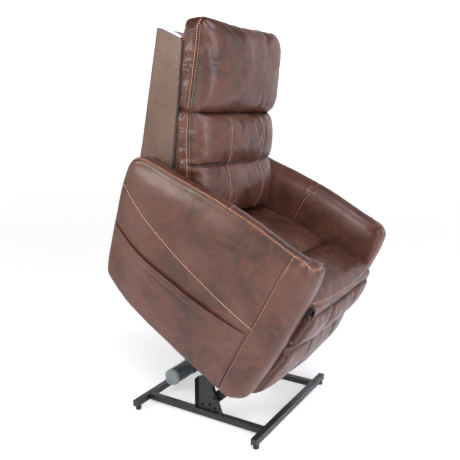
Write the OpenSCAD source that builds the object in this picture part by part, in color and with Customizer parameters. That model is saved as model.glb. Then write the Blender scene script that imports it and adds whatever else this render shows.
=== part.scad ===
// Lift recliner chair, standing at the top of its lift.
// The base stands on z = 0. Everything above the lift links is modelled upright in
// the chair's own frame (y from front to back, z up from the underside of the arms)
// and in_chair() then tips it forward and raises it on the base.

/* [Base frame] */
// Length of each crossbar, left to right
crossbar_len = 660; // [600:5:720]
// Spacing between the two crossbars, centre to centre
crossbar_pitch = 578; // [560:2:600]
// Spacing between the two side rails, centre to centre
rail_pitch = 475; // [470:1:480]
// Side of the square steel tube
tube = 25; // [22:1:28]
// Wall of the square steel tube
tube_wall = 2; // [1.5:0.5:3]
// Height of the feet under the crossbars
foot_h = 20; // [12:1:25]

/* [Lift] */
// Forward tilt of the chair at the top of the lift, degrees
lift_tilt = 32.5; // [32:0.1:33]
// Height of the arms' underside above the tilt axis, before tilting
lift_rise = 309.7; // [305:0.1:315]
// Upper pivot on the base uprights, y and z
arm_foot = [0, 185.7]; // [0:0.1:186]
// Lower pivot on the base uprights, y and z
link_foot = [-48, 99.5]; // [-50:0.1:100]
// Where the lift arms carry the chair, in the chair's frame
arm_head = [-22.9, 98.4]; // [-24:0.1:100]
// Where the front links meet the chair, in the chair's frame
link_head = [-50, 49.2]; // [-50:0.1:50]
// Rear pivot of the lift actuator, y and z
lift_tail = [290, 76]; // [70:1:300]
// Pin of the lug on the torque tube, y and z
lift_pin = [-64, 93]; // [-70:1:100]

/* [Seat] */
// Distance between the inner faces of the two arms
seat_gap = 606; // [600:1:620]
// Overall width over the arm sides, without the pocket panels
arm_span = 816; // [812:1:824]
// Front and rear ends of the seat box
seat_y = [-60, 520]; // [-60:1:520]
// Height of the seat springs
spring_z = 296; // [294:0.5:298]
// Thickness of the wooden boards
board = 22; // [18:1:24]

/* [Backrest and footrest] */
// Hinge of the backrest, in the chair's frame
back_hinge = [605, 280]; // [270:1:610]
// Hinge of the chaise panel, in the chair's frame
chaise_hinge = [-100, 447]; // [-105:1:450]
// Hinge between chaise panel and footrest panel
fold_hinge = [-73, 268]; // [-75:1:270]
// Half width of the back cushions
back_half = 288; // [284:1:288]
// Half width of the chaise and footrest pads
pad_half = 290; // [285:1:290]

/* [Hidden] */
// Middle of the whole object's box, measured from the base frame's centre
box_mid_y = -112.32;
pin_r = 6;          // every lift pivot pin
run = 0.06;         // running clearance of a pin in its bore
$fn = 48;

rail_x = rail_pitch / 2;
bar_y = crossbar_pitch / 2;
tube_z = foot_h + tube;            // top of the base tubes
plate_x = rail_x - 4.5;            // inner face of the upright plate
plate_t = 5;
arm_in = seat_gap / 2;
arm_out = arm_span / 2;
rail_in = 256;                     // inner face of the seat rails
rail_zs = [130, 160];              // bottom and top of the seat rails
box_half = 298;                    // outer faces of the seat's side boards
box_top = 300;                     // top of the side boards and the rear board
front_top = 340;                   // top of the front board
lug_x = 35;                        // plane of the lift actuator
back_x = 60;                       // plane of the back actuator
foot_x = -50;                      // plane of the footrest actuator
cross_front = [10, 145];           // front cross tube of the seat frame
cross_rear = [505, 145];           // rear cross tube of the seat frame
cross_r = 12;                      // outer radius of both cross tubes
back_tail = [40, 172];             // rear pivot of the back actuator
back_pin = [623, 178];             // its rod end, on the back frame
foot_tail = [480, 150];            // rear pivot of the footrest actuator
foot_pin = [-60, 290];             // its rod end, on the chaise board
eye_half = 8;                      // half width of every actuator eye
fork_t = 5;                        // thickness of the fork plates round an eye
fork_out = 16.5;                   // outer half width of a fork

// Where the two plates of the fork centred on x start
function fork(x) = [x - fork_out, x + fork_out - fork_t];

leather = [0.36, 0.25, 0.21];
leather_side = [0.42, 0.31, 0.26];
steel = [0.09, 0.09, 0.10];
zinc = [0.62, 0.63, 0.65];
grey = [0.42, 0.46, 0.47];
dark = [0.16, 0.17, 0.18];
wood = [0.72, 0.57, 0.38];

// ---- Places -------------------------------------------------------------

module in_base() translate([0, -box_mid_y, 0]) children();

module in_chair() in_base() rotate([lift_tilt, 0, 0]) translate([0, 0, lift_rise]) children();

// side = 1 draws the sitter's left (+X), side = -1 mirrors it to the right
module sided(side) {
    if (side > 0) children();
    else mirror([1, 0, 0]) children();
}

// A point of the chair's frame, in the base frame at the top of the lift
function raised(p) = [
    p.x * cos(lift_tilt) - (p.y + lift_rise) * sin(lift_tilt),
    p.x * sin(lift_tilt) + (p.y + lift_rise) * cos(lift_tilt)
];

// ---- Outlines in the y-z plane ------------------------------------------

function unit(v) = v / norm(v);

// The arc that rounds corner b between neighbours a and c; b.z is its radius
function corner(a, b, c, steps) =
    let (p = [b.x, b.y], u = unit([a.x, a.y] - p), v = unit([c.x, c.y] - p),
         half = acos(u * v) / 2, o = p + unit(u + v) * (b.z / sin(half)),
         s = p + u * (b.z / tan(half)) - o, e = p + v * (b.z / tan(half)) - o,
         a0 = atan2(s.y, s.x), turn = (atan2(e.y, e.x) - a0 + 540) % 360 - 180)
    b.z == 0 ? [p] : [for (i = [0:steps]) o + b.z * [cos(a0 + turn * i / steps),
                                                     sin(a0 + turn * i / steps)]];

// Corners [y, z, radius] to a rounded outline
function rounded(c, steps = 5) =
    [for (i = [0:len(c) - 1]) each corner(c[(i + len(c) - 1) % len(c)], c[i],
                                          c[(i + 1) % len(c)], steps)];

// The part of line a-b at distance d to its left, as two corners
function beside(a, b, d) = let (n = unit([a.y - b.y, b.x - a.x])) [a + n * d, b + n * d];

// An outline in y-z, extruded from x0 to x1
module slab(points, x0, x1) {
    translate([x0, 0, 0]) rotate([90, 0, 90]) linear_extrude(x1 - x0) polygon(points);
}

// A round bar along X through point p
module pin(p, r, x0, x1) {
    translate([x0, p.x, p.y]) rotate([0, 90, 0]) cylinder(r = r, h = x1 - x0);
}

// Outline of a bar of width w from p to q with round ends
function bar_outline(p, q, w, steps = 12) =
    let (a = atan2(q.y - p.y, q.x - p.x) - 90)
    [for (end = [0, 1], i = [0:steps]) let (b = a + 180 * (end + i / steps))
        (end == 0 ? q : p) + w / 2 * [cos(b), sin(b)]];

module flat_bar(p, q, w, x0, x1) slab(bar_outline(p, q, w), x0, x1);

// Local +Y runs from p to q
module along(p, q) {
    translate([0, p.x, p.y]) rotate([atan2(q.y - p.y, q.x - p.x), 0, 0]) children();
}

// ---- Base ---------------------------------------------------------------

module square_tube(len) {
    difference() {
        translate([-len / 2, -tube / 2, 0]) cube([len, tube, tube]);
        translate([-len / 2 - 1, tube_wall - tube / 2, tube_wall])
            cube([len + 2, tube - 2 * tube_wall, tube - 2 * tube_wall]);
    }
}

module crossbar(side) color(steel) in_base()
    translate([0, side * bar_y, foot_h]) square_tube(crossbar_len);

module side_rail(side) color(steel) in_base()
    translate([side * rail_x, 0, foot_h]) rotate([0, 0, 90])
        square_tube(crossbar_pitch - tube);

module base_end_caps() color(dark) in_base()
    for (side = [-1, 1], end = [-1, 1])
        translate([side * crossbar_len / 2, end * bar_y, foot_h]) sided(side) {
            translate([0, -tube / 2, 0]) cube([3, tube, tube]);
            translate([-14, tube_wall - tube / 2, tube_wall])
                cube([14, tube - 2 * tube_wall, tube - 2 * tube_wall]);
        }

module base_feet() color(dark) in_base()
    for (side = [-1, 1], end = [-1, 1])
        translate([side * (crossbar_len / 2 - 17), end * bar_y, 0]) {
            cylinder(r = 12, h = foot_h - 8);
            translate([0, 0, foot_h - 8]) cylinder(r = 9, h = 8);
        }

upright_rear = 36;                 // y of the upright's vertical rear edge
upright_toe = -92;                 // y of the foot of its sloping front edge
upright_knee = [-48, 166];         // top of its sloping front edge

// Channel plate on the side rail, with folded edges that point outwards
module upright(side) color(steel) in_base() sided(side) difference() {
    front = [upright_toe, tube_z];
    inner = beside(front, upright_knee, -3);
    union() {
        slab(rounded([[upright_rear, tube_z, 0], [upright_rear, 181, 10], [-4, 201, 14],
                      [upright_knee.x, upright_knee.y, 10], [upright_toe, tube_z, 0]]),
             plate_x, plate_x + plate_t);
        slab([[upright_rear - 3, tube_z], [upright_rear, tube_z], [upright_rear, 178],
              [upright_rear - 3, 178]], plate_x, plate_x + 18);
        slab([front, upright_knee, inner[1], front + [3.2, 0]], plate_x, plate_x + 18);
        slab([[upright_toe, tube_z], [upright_rear, tube_z], [upright_rear, tube_z + 3],
              [upright_toe, tube_z + 3]], plate_x, plate_x + 16);
    }
    pin(arm_foot, pin_r + run, plate_x - 1, plate_x + 8);
    pin(link_foot, pin_r + run, plate_x - 1, plate_x + 8);
}

module upright_bolts() color(zinc) in_base()
    for (side = [-1, 1]) sided(side)
        for (p = [[-26, 70], [-51, 59], [10, 62]]) {
            pin(p, 8, plate_x + plate_t, plate_x + plate_t + 2);
            translate([plate_x + plate_t + 2, p.x, p.y]) rotate([0, 90, 0])
                cylinder(r = 6.5, h = 5, $fn = 6);
        }

// A pivot bolt through the upright: shank inwards, head on the outside
module pivot_bolt(p, reach) {
    pin(p, pin_r, plate_x - reach, plate_x + plate_t);
    pin(p, 10, plate_x + plate_t, plate_x + plate_t + 7);
}

module lift_arm_pins() color(zinc) in_base()
    for (side = [-1, 1]) sided(side) pivot_bolt(arm_foot, 27);

module front_link_pins() color(zinc) in_base()
    for (side = [-1, 1]) sided(side) pivot_bolt(link_foot, 29);

module actuator_clevis() color(steel) in_base() {
    for (x = fork(lug_x)) difference() {
        slab(rounded([[lift_tail.x - 14, tube_z, 0], [lift_tail.x - 14, 92, 12],
                      [lift_tail.x + 14, 92, 12], [lift_tail.x + 14, tube_z, 0]]), x, x + fork_t);
        pin(lift_tail, pin_r, x - 1, x + fork_t + 1);
    }
    pin(lift_tail, pin_r, lug_x - fork_out - 3, lug_x + fork_out + 3);
}

// ---- Lift links ---------------------------------------------------------

arm_top = raised(arm_head);
link_top = raised(link_head);

module lift_arm(side) color(steel) in_base() sided(side) difference() {
    flat_bar(arm_foot, arm_top, 34, 214, 222);
    pin(arm_foot, pin_r + run, 213, 223);
    pin(arm_top, pin_r + run, 213, 223);
}

module torque_tube() color(steel) in_base() difference() {
    pin(arm_foot, 17, -214, 214);
    pin(arm_foot, 13, -215, 215);
}

module torque_lug() color(steel) in_base()
    for (x = fork(lug_x)) difference() {
        union() {
            flat_bar(arm_foot, lift_pin, 32, x, x + fork_t);
            pin(arm_foot, 25, x, x + fork_t);
        }
        pin(arm_foot, 17, x - 1, x + fork_t + 1);
        pin(lift_pin, pin_r + run, x - 1, x + fork_t + 1);
    }

// Pressed channel, open towards the middle of the chair
module front_link(side) color(steel) in_base() sided(side) difference() {
    flat_bar(link_foot, link_top, 42, 206, 228);
    flat_bar(link_foot, link_top, 34, 205, 224);
    pin(link_foot, pin_r + run, 223, 229);
    pin(link_top, pin_r + run, 223, 229);
}

// ---- Linear actuators ---------------------------------------------------

// Drive head of an actuator whose rear pivot is the origin and whose rod runs along +Y
module drive_head(x, r) difference() {
    union() {
        pin([0, 0], 12, x - eye_half, x + eye_half);
        slab([[0, -11], [25, -11], [25, 11], [0, 11]], x - eye_half, x + eye_half);
        slab(rounded([[24, -r, 8], [24, r, 8], [66, r, 10], [76, 22, 4],
                      [76, -22, 4], [66, -r, 10]]), x - 28, x + 28);
    }
    pin([0, 0], pin_r + run, x - eye_half - 1, x + eye_half + 1);
}

// Outer tube of an actuator, bored for its rod
module guide_tube(x, r, rod_r, y0, y1) {
    translate([x, y0, 0]) rotate([-90, 0, 0]) difference() {
        cylinder(r = r, h = y1 - y0);
        translate([0, 0, -1]) cylinder(r = rod_r + run, h = y1 - y0 + 2);
    }
}

// Rod with a drilled eye at distance reach from the rear pivot
module push_rod(x, r, y0, reach, eye) difference() {
    union() {
        translate([x, y0, 0]) rotate([-90, 0, 0]) cylinder(r = r, h = reach - y0);
        pin([reach, 0], eye, x - eye_half, x + eye_half);
    }
    pin([reach, 0], pin_r + run, x - r - 1, x + r + 1);
}

lift_reach = norm(lift_pin - lift_tail);
motor_r = 30;
motor_u = 42;                      // distance of the motor's axis from the rear pivot

module lift_gearbox() color(dark) in_base() along(lift_tail, lift_pin)
    drive_head(lug_x, 31);

module lift_motor() color(dark) in_base() along(lift_tail, lift_pin) {
    pin([motor_u, 0], motor_r, -112, lug_x - 28);
    for (i = [0:9])
        pin([motor_u, 0], motor_r + 1.5, -108 + i * 10, -104 + i * 10);
}

module lift_motor_cap() color(grey) in_base() along(lift_tail, lift_pin) {
    pin([motor_u, 0], motor_r + 1, -130, -112);
    pin([motor_u, 0], motor_r - 3, -132, -130);
}

module lift_outer_tube() color(grey) in_base() along(lift_tail, lift_pin)
    guide_tube(lug_x, 19, 10, 76, 262);

module lift_rod() color(zinc) in_base() along(lift_tail, lift_pin)
    push_rod(lug_x, 10, 155, lift_reach, 13);

// One housing for a seat actuator: head, motor to one side and outer tube
module seat_actuator(x, motor_side, tube_end) {
    drive_head(x, 26);
    pin([motor_u + 5, 0], 21, motor_side > 0 ? x + 28 : x - 135, motor_side > 0 ? x + 135 : x - 28);
    guide_tube(x, 16, 9, 76, tube_end);
}

back_reach = norm(back_pin - back_tail);
foot_reach = norm(foot_pin - foot_tail);

module back_actuator_housing() color(dark) in_chair() along(back_tail, back_pin)
    seat_actuator(back_x, 1, 400);

module back_actuator_rod() color(zinc) in_chair() along(back_tail, back_pin)
    push_rod(back_x, 9, 200, back_reach, 12);

module footrest_actuator_housing() color(dark) in_chair() along(foot_tail, foot_pin)
    seat_actuator(foot_x, -1, 400);

module footrest_actuator_rod() color(zinc) in_chair() along(foot_tail, foot_pin)
    push_rod(foot_x, 9, 140, foot_reach, 12);

// ---- Seat frame ---------------------------------------------------------

// C channel, open towards the middle
module seat_rail(side) color(steel) in_chair() sided(side) difference() {
    translate([rail_in, seat_y[0], rail_zs[0]])
        cube([30, seat_y[1] - seat_y[0], rail_zs[1] - rail_zs[0]]);
    translate([rail_in - 1, seat_y[0] - 1, rail_zs[0] + 3])
        cube([28, seat_y[1] - seat_y[0] + 2, rail_zs[1] - rail_zs[0] - 6]);
}

// Hanger plate under the rail with the studs that the lift links carry
module pivot_bracket(side) color(steel) in_chair() sided(side) {
    slab(rounded([[60, rail_zs[0], 0], [-60, rail_zs[0], 0], [-72, 58, 20],
                  [-66, 28, 18], [-36, 28, 18], [30, 92, 30]]), rail_in, rail_in + 6);
    pin(arm_head, pin_r, 211, rail_in);
    pin(arm_head, 10, 223, rail_in);
    pin(link_head, pin_r, 231, rail_in);
}

// Two cross tubes between the rails, which carry the seat's own actuators
module seat_cross_tubes() color(steel) in_chair()
    for (p = [cross_front, cross_rear]) difference() {
        pin(p, cross_r, -rail_in, rail_in);
        pin(p, cross_r - 2.5, -rail_in - 1, rail_in + 1);
    }

// Fork welded on a cross tube, with the pin of an actuator's rear pivot
module actuator_fork(tube_axis, tail, x0) {
    difference() {
        for (x = fork(x0)) flat_bar(tube_axis, tail, 22, x, x + fork_t);
        pin(tube_axis, cross_r, x0 - fork_out - 1, x0 + fork_out + 1);
    }
    pin(tail, pin_r, x0 - fork_out, x0 + fork_out);
}

module actuator_forks() color(steel) in_chair() {
    actuator_fork(cross_front, back_tail, back_x);
    actuator_fork(cross_rear, foot_tail, foot_x);
}

module seat_side_boards() color(wood) in_chair()
    for (side = [-1, 1]) sided(side)
        translate([box_half - board, seat_y[0], rail_zs[1]])
            cube([board, seat_y[1] - seat_y[0], box_top - rail_zs[1]]);

// Notched for the rod that drives the footrest
module seat_front_board() color(wood) in_chair() difference() {
    translate([board - box_half, seat_y[0], rail_zs[1]])
        cube([2 * (box_half - board), board, front_top - rail_zs[1]]);
    translate([foot_x - 20, seat_y[0] - 1, 262]) cube([40, board + 2, front_top]);
}

module seat_rear_board() color(wood) in_chair()
    translate([board - box_half, seat_y[1] - board, 200])
        cube([2 * (box_half - board), board, box_top - 200]);

spring_n = 16;                     // cross runs of each sinuous spring
spring_w = 3.2;                    // wire width
function spring_pitch() = (seat_y[1] - seat_y[0] - 2 * board - spring_w) / spring_n;

// Centre line of one sinuous spring: half circles joined by short cross runs
function spring_line() = let (p = spring_pitch(), y0 = seat_y[0] + board + spring_w / 2)
    [for (i = [0:spring_n - 1]) let (s = i % 2 == 0 ? 1 : -1, y = y0 + p * (i + 0.5))
        each [for (k = [0:4]) [s * (8 + p / 2 * sin(45 * k)), y - p / 2 * cos(45 * k)]]];

function ribbon(c, w) = let (n = len(c), side = [for (i = [0:n - 1])
        let (t = unit(c[min(i + 1, n - 1)] - c[max(i - 1, 0)])) [-t.y, t.x] * w / 2])
    concat([for (i = [0:n - 1]) c[i] + side[i]], [for (i = [n - 1:-1:0]) c[i] - side[i]]);

module seat_springs() color(zinc) in_chair()
    for (x = [-225, -125, 0, 125, 225])
        translate([x, 0, spring_z - spring_w / 2])
            linear_extrude(spring_w) polygon(ribbon(spring_line(), spring_w));

module seat_cushion() color(leather) in_chair()
    slab(rounded([[64, 304, 0], [494, 304, 15], [500, 380, 10], [470, 424, 30],
                  [264, 420, 300], [64, 462, 12]]), -box_half, box_half);

module seat_front_cushion() color(leather) in_chair()
    slab(rounded([[62, 345, 0], [62, 500, 18], [-70, 498, 22], [-98, 484, 12],
                  [-98, 462, 4], [-62, 462, 0], [-62, 345, 0]]), -box_half, box_half);

module control_box() color(dark) in_chair() difference() {
    slab(rounded([[340, 188, 5], [460, 188, 5], [460, 224, 5], [340, 224, 5]]),
         146, box_half - board);
    translate([180, 452, 196]) cube([30, 10, 20]);
}

// Mains inlet of the control box: a frame with a recess and two contacts
module power_inlet() color("black") in_chair() {
    difference() {
        translate([180, 452, 196]) cube([30, 12, 20]);
        translate([184, 456, 200]) cube([22, 10, 12]);
    }
    for (x = [190, 200]) translate([x, 456, 206]) rotate([-90, 0, 0])
        cylinder(r = 1.2, h = 6);
}

// Rod in front of the seat that the chaise panel hangs on, with its two brackets
module footrest_hinge_rod() color(steel) in_chair() {
    pin(chaise_hinge, 5, -pad_half - 3, pad_half + 3);
    for (side = [-1, 1]) sided(side)
        slab(rounded([[seat_y[0], 290, 0], [seat_y[0], 338, 0],
                      [chaise_hinge.x + 9, chaise_hinge.y + 9, 6],
                      [chaise_hinge.x - 9, chaise_hinge.y + 9, 6],
                      [chaise_hinge.x - 9, chaise_hinge.y - 14, 6],
                      [seat_y[0] - 16, 290, 4]]), pad_half + 3, pad_half + 7);
}

// Plates behind the rails that carry the back frame's hinge pins
module back_hinge_brackets() color(steel) in_chair()
    for (side = [-1, 1]) sided(side) {
        slab(rounded([[seat_y[1], rail_zs[0], 0], [seat_y[1] + 30, rail_zs[0], 12],
                      [back_hinge.x + 16, back_hinge.y - 8, 14],
                      [back_hinge.x + 8, back_hinge.y + 18, 12],
                      [back_hinge.x - 20, back_hinge.y + 12, 12],
                      [seat_y[1], 190, 0]]), 262, 268);
        pin(back_hinge, 7, 258, 286);
    }

// ---- Arms ---------------------------------------------------------------

// Side outline of an arm: rounded toe, leaning front, long falling top
arm_corners = [
    [-133, -8, 95], [-129, 250, 700], [-94, 641, 26], [150, 628, 500],
    [345, 606, 900], [754, 516, 46], [727, 376, 300], [640, 22, 32],
    [532, 0, 90], [262, -12, 900]
];

arm_wall = 16;                     // padding and cover together

module arm(side) color(leather) in_chair() sided(side) difference() {
    slab(rounded(arm_corners), arm_in, arm_out);
    translate([arm_in + arm_wall, 0, 0]) rotate([90, 0, 90])
        linear_extrude(arm_out - arm_in - 2 * arm_wall)
            offset(delta = -arm_wall) polygon(rounded(arm_corners));
}

// Ladder frame inside the arm: posts, rails and a brace
module arm_frame(side) color(wood) in_chair() sided(side) {
    x0 = arm_in + arm_wall;
    for (y = [-76, 230, 560])
        translate([x0, y, 40]) cube([40, 40, y > 500 ? 440 : 520]);
    translate([x0, -36, 26]) cube([40, 266, 40]);
    translate([x0, 270, 26]) cube([40, 290, 40]);
    translate([x0, -36, 520]) cube([40, 266, 40]);
    translate([x0, 270, 440]) cube([40, 290, 40]);
}

// Pocket outline below its mouth, a shallow curve that sags in the middle
pocket_gap = 10;
pocket_wall = 4;
pocket_corners = [
    [16, 262, 0], [10, 60, 60], [90, 18, 90], [262, 12, 700], [530, 22, 90],
    [622, 52, 40], [682, 240, 0], [535, 212, 250], [300, 208, 500]
];
rim = 8;                           // width of the sewn edge around the pocket

// Outer leaf of the pocket, sewn to the arm at the front, bottom and rear
module side_pocket(side) color(leather) in_chair() sided(side) difference() {
    slab(rounded(pocket_corners), arm_out, arm_out + pocket_gap + pocket_wall);
    translate([arm_out - 1, 0, 0]) rotate([90, 0, 90]) linear_extrude(pocket_gap + 1) {
        offset(delta = -rim) polygon(rounded(pocket_corners));
        translate([26, 190]) square([640, 200]);
    }
}

// ---- Backrest -----------------------------------------------------------

// Lines of the back shell: its front edge and its rear edge, bottom to top
shell_front = [[596, 300], [651, 540], [846, 945]];
shell_rear = [[790, 467], [966, 929]];
shell_foot = [690, 150];
panel_t = 9;

function shell_outline() = [
    [shell_front[0].x, shell_front[0].y, 8], [shell_front[1].x, shell_front[1].y, 200],
    [shell_front[2].x, shell_front[2].y, 5], [shell_rear[1].x, shell_rear[1].y, 8],
    [shell_rear[0].x, shell_rear[0].y, 200], [shell_foot.x, shell_foot.y, 20],
    [shell_foot.x - 44, shell_foot.y - 6, 14]
];

module back_side_panel(side) color(leather_side) in_chair() sided(side)
    slab(rounded(shell_outline()), back_half + 2, back_half + 2 + panel_t);

// Wooden back frame: two side boards, three rails and the lug for its actuator
module back_frame() color(wood) in_chair() {
    for (side = [-1, 1]) sided(side) difference() {
        slab([[606, 264], [640, 264], [700, 280], [776, 467], [948, 918], [848, 930],
              [658, 536], [606, 330], [588, 300], [590, 270]], 270, 288);
        pin(back_hinge, 7 + run, 269, 289);
    }
    for (p = [[880, 890], [760, 600], [640, 300]])
        translate([-270, p.x, p.y]) rotate([-22, 0, 0]) cube([540, 40, 25]);
    for (x = fork(back_x)) difference() {
        slab(rounded([[640, 296, 0], [676, 296, 0], [636, 170, 12], [back_pin.x, 162, 12],
                      [608, 180, 12]]), x, x + fork_t);
        pin(back_pin, pin_r + run, x - 1, x + fork_t + 1);
    }
}

// Rear cover, turned over the top edge between the side panels
module back_rear_panel() color(leather_side) in_chair() {
    skin = beside(shell_rear[0], shell_rear[1], 8);
    slab([shell_foot, shell_rear[0], shell_rear[1], [846 + 14, 944], [846 + 14, 937],
          skin[1] - [0, 6], skin[0], shell_foot + [-9, 3]], -back_half - 1.5, back_half + 1.5);
}

// Pale strips along the top edge, just inside the side panels
module back_liners() color("white") in_chair()
    for (side = [-1, 1]) sided(side)
        slab([[862, 944.5], [958, 931.5], [958, 937.5], [862, 950.5]], 258, 289);

module lumbar_cushion() color(leather) in_chair()
    slab(rounded([[432, 434, 26], [500, 555, 300], [606, 741, 26], [744, 741, 8],
                  [650, 548, 100], [592, 434, 8]]), -back_half, back_half);

module headrest_cushion() color(leather) in_chair()
    slab(rounded([[612, 746, 26], [768, 1060, 78], [872, 1040, 30], [748, 746, 8]]),
         -back_half, back_half);

// ---- Chaise and footrest panels -----------------------------------------

front_board_y = -90;               // front face of both panel boards
panel_board = 12;

// Slotted for the rod, which swings close to its upper edge
module chaise_board() color(wood) in_chair() difference() {
    union() {
        translate([-pad_half + 4, front_board_y, fold_hinge.y + 2])
            cube([2 * pad_half - 8, panel_board, 436 - fold_hinge.y - 2]);
        for (x = [-200, -20, 160]) {
            pin(chaise_hinge, 8.5, x, x + 40);
            slab([[front_board_y, 436], [front_board_y + panel_board, 430],
                  [front_board_y + panel_board, 440], [-92, 452], [-98, 442]], x, x + 40);
        }
        for (x = [-240, 200]) {
            pin(fold_hinge, 5, x, x + 40);
            translate([x, fold_hinge.x - 6, fold_hinge.y]) cube([40, 6, 24]);
        }
        for (x = fork(foot_x))
            slab(rounded([[front_board_y + panel_board, 320, 0], [foot_pin.x + 13, 303, 10],
                          [foot_pin.x + 13, 277, 10],
                          [front_board_y + panel_board, 272, 0]]), x, x + fork_t);
    }
    pin(chaise_hinge, 5 + run, -201, 201);
    pin(fold_hinge, 2.5 + run, -241, 241);
    pin(foot_pin, pin_r + run, foot_x - fork_out - 1, foot_x + fork_out + 1);
    translate([foot_x - 11, front_board_y - 1, 275]) cube([22, panel_board + 2, 175]);
}

module chaise_pad() color(leather) in_chair()
    slab(rounded([[-90, 270, 0], [-140, 274, 10], [-172, 290, 12], [-170, 392, 40],
                  [-118, 434, 14], [-90, 434, 0]]), -pad_half, pad_half);

module footrest_board() color(wood) in_chair() {
    translate([-pad_half + 4, front_board_y, 6])
        cube([2 * pad_half - 8, panel_board, fold_hinge.y - 2 - 6]);
    for (x = [-198, 160]) {
        pin(fold_hinge, 5, x, x + 38);
        translate([x, fold_hinge.x - 6, fold_hinge.y - 24]) cube([38, 6, 22]);
    }
    pin(fold_hinge, 2.5, -240, -160);
    pin(fold_hinge, 2.5, 160, 240);
}

module footrest_pad() color(leather) in_chair()
    slab(rounded([[-90, 266, 0], [-140, 262, 10], [-172, 246, 12], [-166, 90, 300],
                  [-132, -6, 24], [-90, -4, 6]]), -pad_half, pad_half);

// ---- Nodes --------------------------------------------------------------

crossbar(-1);  // base_crossbar_front
crossbar(1);  // base_crossbar_rear
side_rail(1);  // base_side_rail_left
side_rail(-1);  // base_side_rail_right
base_end_caps();
base_feet();
upright(1);  // upright_left
upright(-1);  // upright_right
upright_bolts();
lift_arm_pins();
front_link_pins();
actuator_clevis();
lift_arm(1);  // lift_arm_left
lift_arm(-1);  // lift_arm_right
torque_tube();
torque_lug();
front_link(1);  // front_link_left
front_link(-1);  // front_link_right
lift_gearbox();
lift_motor();
lift_motor_cap();
lift_outer_tube();
lift_rod();
seat_rail(1);  // seat_rail_left
seat_rail(-1);  // seat_rail_right
pivot_bracket(1);  // pivot_bracket_left
pivot_bracket(-1);  // pivot_bracket_right
seat_cross_tubes();
actuator_forks();
seat_side_boards();
seat_front_board();
seat_rear_board();
seat_springs();
seat_cushion();
seat_front_cushion();
arm_frame(1);  // arm_frame_left
arm_frame(-1);  // arm_frame_right
arm(1);  // arm_left
arm(-1);  // arm_right
side_pocket(1);  // side_pocket_left
side_pocket(-1);  // side_pocket_right
control_box();
power_inlet();
footrest_hinge_rod();
back_hinge_brackets();
back_frame();
back_side_panel(1);  // back_side_panel_left
back_side_panel(-1);  // back_side_panel_right
back_rear_panel();
back_liners();
lumbar_cushion();
headrest_cushion();
chaise_board();
chaise_pad();
footrest_board();
footrest_pad();
back_actuator_housing();
back_actuator_rod();
footrest_actuator_housing();
footrest_actuator_rod();
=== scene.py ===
"""Looks of the lift recliner chair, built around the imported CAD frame.

Everything upholstered is shaped in the chair's own frame, in metres: X across (+X is the
sitter's left), Y from front to back, Z up from the underside of the arms. CHAIR then
tips it forward and raises it onto the base, as the lift does.
"""

import math

import bpy
import numpy as np
from mathutils import Matrix, Vector, noise
from mathutils.bvhtree import BVHTree


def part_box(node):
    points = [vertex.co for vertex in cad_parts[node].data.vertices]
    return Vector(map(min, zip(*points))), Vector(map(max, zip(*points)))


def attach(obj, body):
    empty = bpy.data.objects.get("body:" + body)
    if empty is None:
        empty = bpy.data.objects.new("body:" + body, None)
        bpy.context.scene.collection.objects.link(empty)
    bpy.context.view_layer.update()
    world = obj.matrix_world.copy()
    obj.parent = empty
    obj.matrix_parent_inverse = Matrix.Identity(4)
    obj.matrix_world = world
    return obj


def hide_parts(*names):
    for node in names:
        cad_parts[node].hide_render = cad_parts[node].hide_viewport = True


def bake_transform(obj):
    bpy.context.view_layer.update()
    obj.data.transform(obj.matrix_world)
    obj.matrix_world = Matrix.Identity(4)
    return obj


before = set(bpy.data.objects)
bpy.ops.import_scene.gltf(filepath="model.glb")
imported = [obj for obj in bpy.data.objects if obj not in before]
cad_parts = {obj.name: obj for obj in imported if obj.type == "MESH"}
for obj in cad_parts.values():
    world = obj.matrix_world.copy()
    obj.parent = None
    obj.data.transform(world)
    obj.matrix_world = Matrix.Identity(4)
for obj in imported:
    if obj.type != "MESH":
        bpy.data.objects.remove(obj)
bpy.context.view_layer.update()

# ---- Places ----

LIFT_TILT = math.radians(32.5)
LIFT_RISE = 0.3097
CROSSBARS = [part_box("base_crossbar_front"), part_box("base_crossbar_rear")]
BASE_Y = (CROSSBARS[0][0].y + CROSSBARS[1][1].y) / 2
CHAIR = (
    Matrix.Translation((0, BASE_Y, 0))
    @ Matrix.Rotation(LIFT_TILT, 4, "X")
    @ Matrix.Translation((0, 0, LIFT_RISE))
)

ARM_IN = 0.3035
ARM_OUT = 0.408
BACK_HALF = 0.288
SEAT_HALF = 0.298
PAD_HALF = 0.290
# The piping of the back's side panels, and the far side of the near-black sheets that paint the
# shade behind its cushions
PIPING_X = 0.2975
SHADE_SHEET_X = 0.2895


def mm(*points):
    """Points given in millimetres, as an array in metres."""
    return np.array(points, float) / 1000


def bell(x, width):
    """1 where x is 0, falling off smoothly to both sides over a width."""
    return np.exp(-((x / width) ** 2))


# ---- Curves and box-shaped forms ----


class Curve:
    """A smooth curve through a few points, read by its share of the length."""

    def __init__(self, points, steps=24):
        p = np.asarray(points, float)
        p = np.vstack([2 * p[0] - p[1], p, 2 * p[-1] - p[-2]])
        t = np.linspace(0, 1, steps, endpoint=False)[:, None]
        parts = []
        for a, b, c, d in zip(p[:-3], p[1:-2], p[2:-1], p[3:]):
            parts.append(
                0.5 * (2 * b + (c - a) * t + (2 * a - 5 * b + 4 * c - d) * t**2
                       + (3 * b - a - 3 * c + d) * t**3)
            )
        self.points = np.vstack(parts + [p[-2][None]])
        step = np.linalg.norm(np.diff(self.points, axis=0), axis=1)
        self.length = step.sum()
        self.share = np.concatenate([[0], np.cumsum(step)]) / self.length

    def at(self, t):
        """The point at a share of the length, for one share or many."""
        t = np.clip(t, 0, 1)
        return np.stack([np.interp(t, self.share, c) for c in self.points.T], -1)


def trace(*points):
    """A smooth curve through points given in millimetres."""
    return Curve(mm(*points))


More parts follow.
